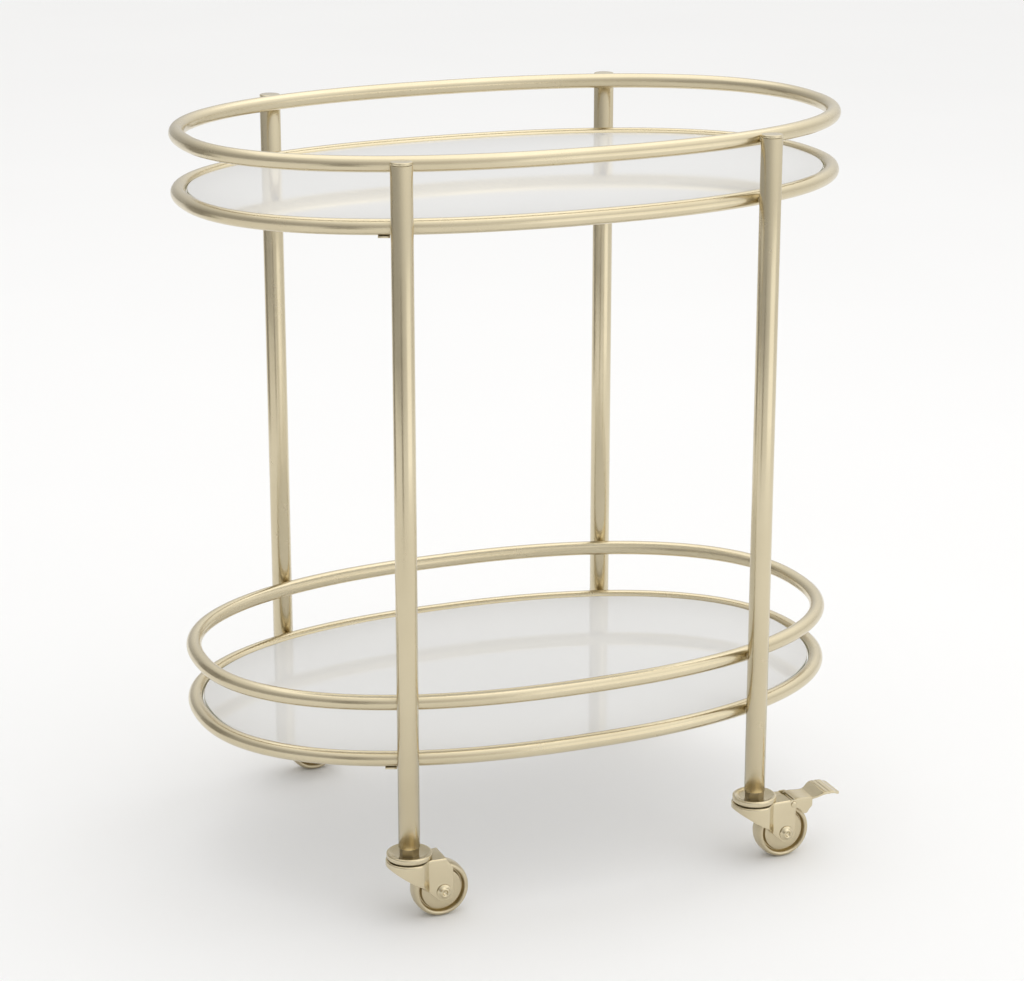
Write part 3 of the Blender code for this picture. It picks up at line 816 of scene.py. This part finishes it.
def ear_bottom(x):
    """Lower edge of the pedal's ears: a rounded nose on the pin, a notch, then a hooked lobe."""
    points = (
        (EAR_FRONT, 0.0590),
        (0.0385, 0.0580),
        (0.0412, 0.0571),
        (0.0440, 0.0566),
        (0.0470, 0.0552),
        (0.0490, 0.0546),
        (0.0505, 0.0520),
        (0.0525, 0.0494),
        (0.0550, 0.0482),
        (0.0575, 0.0486),
        (0.0592, 0.0510),
        (0.0606, 0.0535),
        (0.0622, 0.0545),
        (EAR_REAR, 0.0565),
    )
    for (x0, z0), (x1, z1) in zip(points, points[1:]):
        if x <= x1:
            return z0 + (z1 - z0) * max(0.0, (x - x0) / (x1 - x0))
    return points[-1][1]


def make_pedal(corner):
    """The foot pedal, bent from one sheet with an ear down each side."""
    place = POST_PLACE[corner]
    ear_steps, toe_steps = 14, 40
    plate_x = [PEDAL_FRONT + (EAR_REAR - PEDAL_FRONT) * i / ear_steps for i in range(ear_steps + 1)]
    plate_x += [EAR_REAR + (PEDAL_REAR - EAR_REAR) * i / toe_steps for i in range(1, toe_steps + 1)]
    across = [-1 + 2 * j / 12 for j in range(13)]
    bm = bmesh.new()
    plate = []
    for x in plate_x:
        half, z = pedal_half_width(x), pedal_height(x)
        plate.append([bm.verts.new((x, half * a, z)) for a in across])
    for here, there in zip(plate, plate[1:]):
        for j in range(len(across) - 1):
            bm.faces.new((here[j], here[j + 1], there[j + 1], there[j]))
    rows = 5
    for side in (0, -1):
        y = EAR * across[side]
        columns = []
        for i in range(4):
            x = EAR_FRONT + (PEDAL_FRONT - EAR_FRONT) * i / 4
            top = PEDAL_TOP - 0.0038 * math.cos(math.pi / 2 * i / 4)
            bottom = ear_bottom(x)
            columns.append([bm.verts.new((x, y, top + (bottom - top) * k / rows)) for k in range(rows + 1)])
        for x, line in zip(plate_x[:ear_steps + 1], plate):
            top, bottom = line[side].co.z, ear_bottom(x)
            column = [line[side]]
            column += [bm.verts.new((x, y, top + (bottom - top) * k / rows)) for k in range(1, rows + 1)]
            columns.append(column)
        for here, there in zip(columns, columns[1:]):
            for k in range(rows):
                bm.faces.new((here[k], there[k], there[k + 1], here[k + 1]))
    bmesh.ops.recalc_face_normals(bm, faces=bm.faces)
    if sum(f.normal.z * f.calc_area() for f in bm.faces) < 0:
        bmesh.ops.reverse_faces(bm, faces=bm.faces)
    pin_cutter = bore_cutter((PIN_X, 0, PIN_Z), PIN_BORE, CUT_THROUGH, "Y")
    bm = pressed("pedal_sheet", bm, PEDAL_SHEET, True, [pin_cutter])
    break_edges(bm, 0.00035, 40)
    finished(f"{corner}_pedal_pressing", bm, f"{corner}_brake", CASTER_GOLD,
             [f"{corner}_brake_pedal"], 32, (place.x, place.y, 0))


def make_pin(corner):
    place = centre_of(f"{corner}_pedal_pin")
    seat = RIVET_SEAT
    half = [
        (0, seat + 0.0013),
        (0.0018, seat + 0.0012),
        (0.0029, seat + 0.0009),
        (0.0034, seat + 0.0003),
        (0.0034, seat),
        (0.0020, seat),
    ]
    finished(f"{corner}_pin_rivet", turned(both_sides(half), 36, "Y"), f"{corner}_swivel",
             CASTER_GOLD, [f"{corner}_pedal_pin"], 50, place)


def make_casters():
    for corner in CORNERS:
        make_stem(corner)
        make_fork(corner)
        make_axle(corner)
        make_wheel(corner)
        if corner in BRAKED:
            make_pedal(corner)
            make_pin(corner)
            softened(f"{corner}_brake_shoe", BLACK_RUBBER, f"{corner}_brake", 0.0006,
                     f"{corner}_shoe_pad")


# ---- the studio ----
def add_panel(name, spot, aim, width, height, power):
    """A soft light that the camera doesn't see."""
    light = bpy.data.lights.new(name, "AREA")
    light.shape = "RECTANGLE"
    light.size = width
    light.size_y = height
    light.energy = power
    lamp = bpy.data.objects.new(name, light)
    bpy.context.scene.collection.objects.link(lamp)
    lamp.location = spot
    lamp.rotation_mode = "QUATERNION"
    lamp.rotation_quaternion = (Vector(aim) - Vector(spot)).to_track_quat("-Z", "Y")
    lamp.visible_camera = False


def add_flag(name, spot, aim, width, height):
    """A dark card that only the gloss sees: it puts the soft dark bands on the tubes."""
    bm = bmesh.new()
    bmesh.ops.create_grid(bm, x_segments=1, y_segments=1, size=0.5)
    bmesh.ops.scale(bm, vec=(width, height, 1), verts=bm.verts)
    look = Look(name, Roughness=0.9)
    look.colour(look.noise(2, 2), (0.30, 0.29, 0.27), (0.32, 0.31, 0.29))
    card = in_scene(name, bm)
    card.data.materials.append(look.material)
    card.location = spot
    card.rotation_mode = "QUATERNION"
    card.rotation_quaternion = (Vector(aim) - Vector(spot)).to_track_quat("Z", "Y")
    card.visible_camera = card.visible_shadow = card.visible_diffuse = False


def make_world():
    """A pale surround, brightest overhead and toward +X, greyer toward -X."""
    world = bpy.data.worlds.new("studio")
    world.use_nodes = True
    tree = world.node_tree
    place = tree.nodes.new("ShaderNodeTexCoord").outputs["Generated"]
    surround = tree.nodes["Background"]

    def facing(direction):
        node = tree.nodes.new("ShaderNodeVectorMath")
        node.operation = "DOT_PRODUCT"
        node.inputs[1].default_value = Vector(direction).normalized()
        tree.links.new(place, node.inputs[0])
        return node.outputs["Value"]

    def ramp(value, start, end, low, high):
        node = tree.nodes.new("ShaderNodeMapRange")
        node.interpolation_type = "SMOOTHSTEP"
        for socket, number in zip(("From Min", "From Max", "To Min", "To Max"), (start, end, low, high)):
            node.inputs[socket].default_value = number
        tree.links.new(value, node.inputs["Value"])
        return node.outputs["Result"]

    around = ramp(facing((0.85, -0.25, 0.0)), -0.9, 0.7, 0.46, 0.84)
    overhead = ramp(facing((0.15, 0.1, 1.0)), 0.25, 0.85, 0.0, 0.46)
    total = tree.nodes.new("ShaderNodeMath")
    total.operation = "ADD"
    tree.links.new(around, total.inputs[0])
    tree.links.new(overhead, total.inputs[1])
    tree.links.new(total.outputs["Value"], surround.inputs["Strength"])
    surround.inputs["Color"].default_value = (1.0, 0.995, 0.985, 1)
    bpy.context.scene.world = world


def make_studio():
    """A wide pale floor, two soft lights and two dark cards."""
    bpy.context.scene.view_settings.view_transform = "Standard"
    make_world()

    bm = bmesh.new()
    bmesh.ops.create_grid(bm, x_segments=8, y_segments=8, size=14)
    look = Look("studio_floor", Roughness=0.9)
    look.colour(look.noise(1.5, 2), (0.90, 0.90, 0.90), (0.91, 0.91, 0.91))
    floor = in_scene("floor", bm)
    floor.data.materials.append(look.material)

    add_panel("key_right", (1.05, -1.75, 0.62), (0.0, -0.2, 0.62), 1.7, 1.2, 3.0)
    add_panel("top", (0.4, 0.8, 3.6), (0.1, 0.4, 0), 4.0, 4.0, 22)
    add_flag("flag_front", (-1.05, -1.25, 0.55), (-0.2, -0.2, 0.55), 0.34, 1.06)
    add_flag("flag_left", (-1.35, 0.95, 0.55), (-0.1, 0.0, 0.55), 0.9, 1.06)


def make_camera():
    """The viewing angle: from the front left, a little above, with a long lens."""
    turn = math.radians(-21.92)
    tilt = math.radians(17.26)
    distance = 3.100
    aim = Vector((0.0008, 0, 0.3767))
    back = Vector((math.sin(turn) * math.cos(tilt), -math.cos(turn) * math.cos(tilt), math.sin(tilt)))
    data = bpy.data.cameras.new("camera")
    data.sensor_width = 36
    data.lens = 101.1
    camera = bpy.data.objects.new("camera", data)
    bpy.context.scene.collection.objects.link(camera)
    camera.location = aim + back * distance
    camera.rotation_mode = "QUATERNION"
    camera.rotation_quaternion = (-back).to_track_quat("-Z", "Y")
    bpy.context.scene.camera = camera


make_frame()
make_casters()
make_studio()
make_camera()
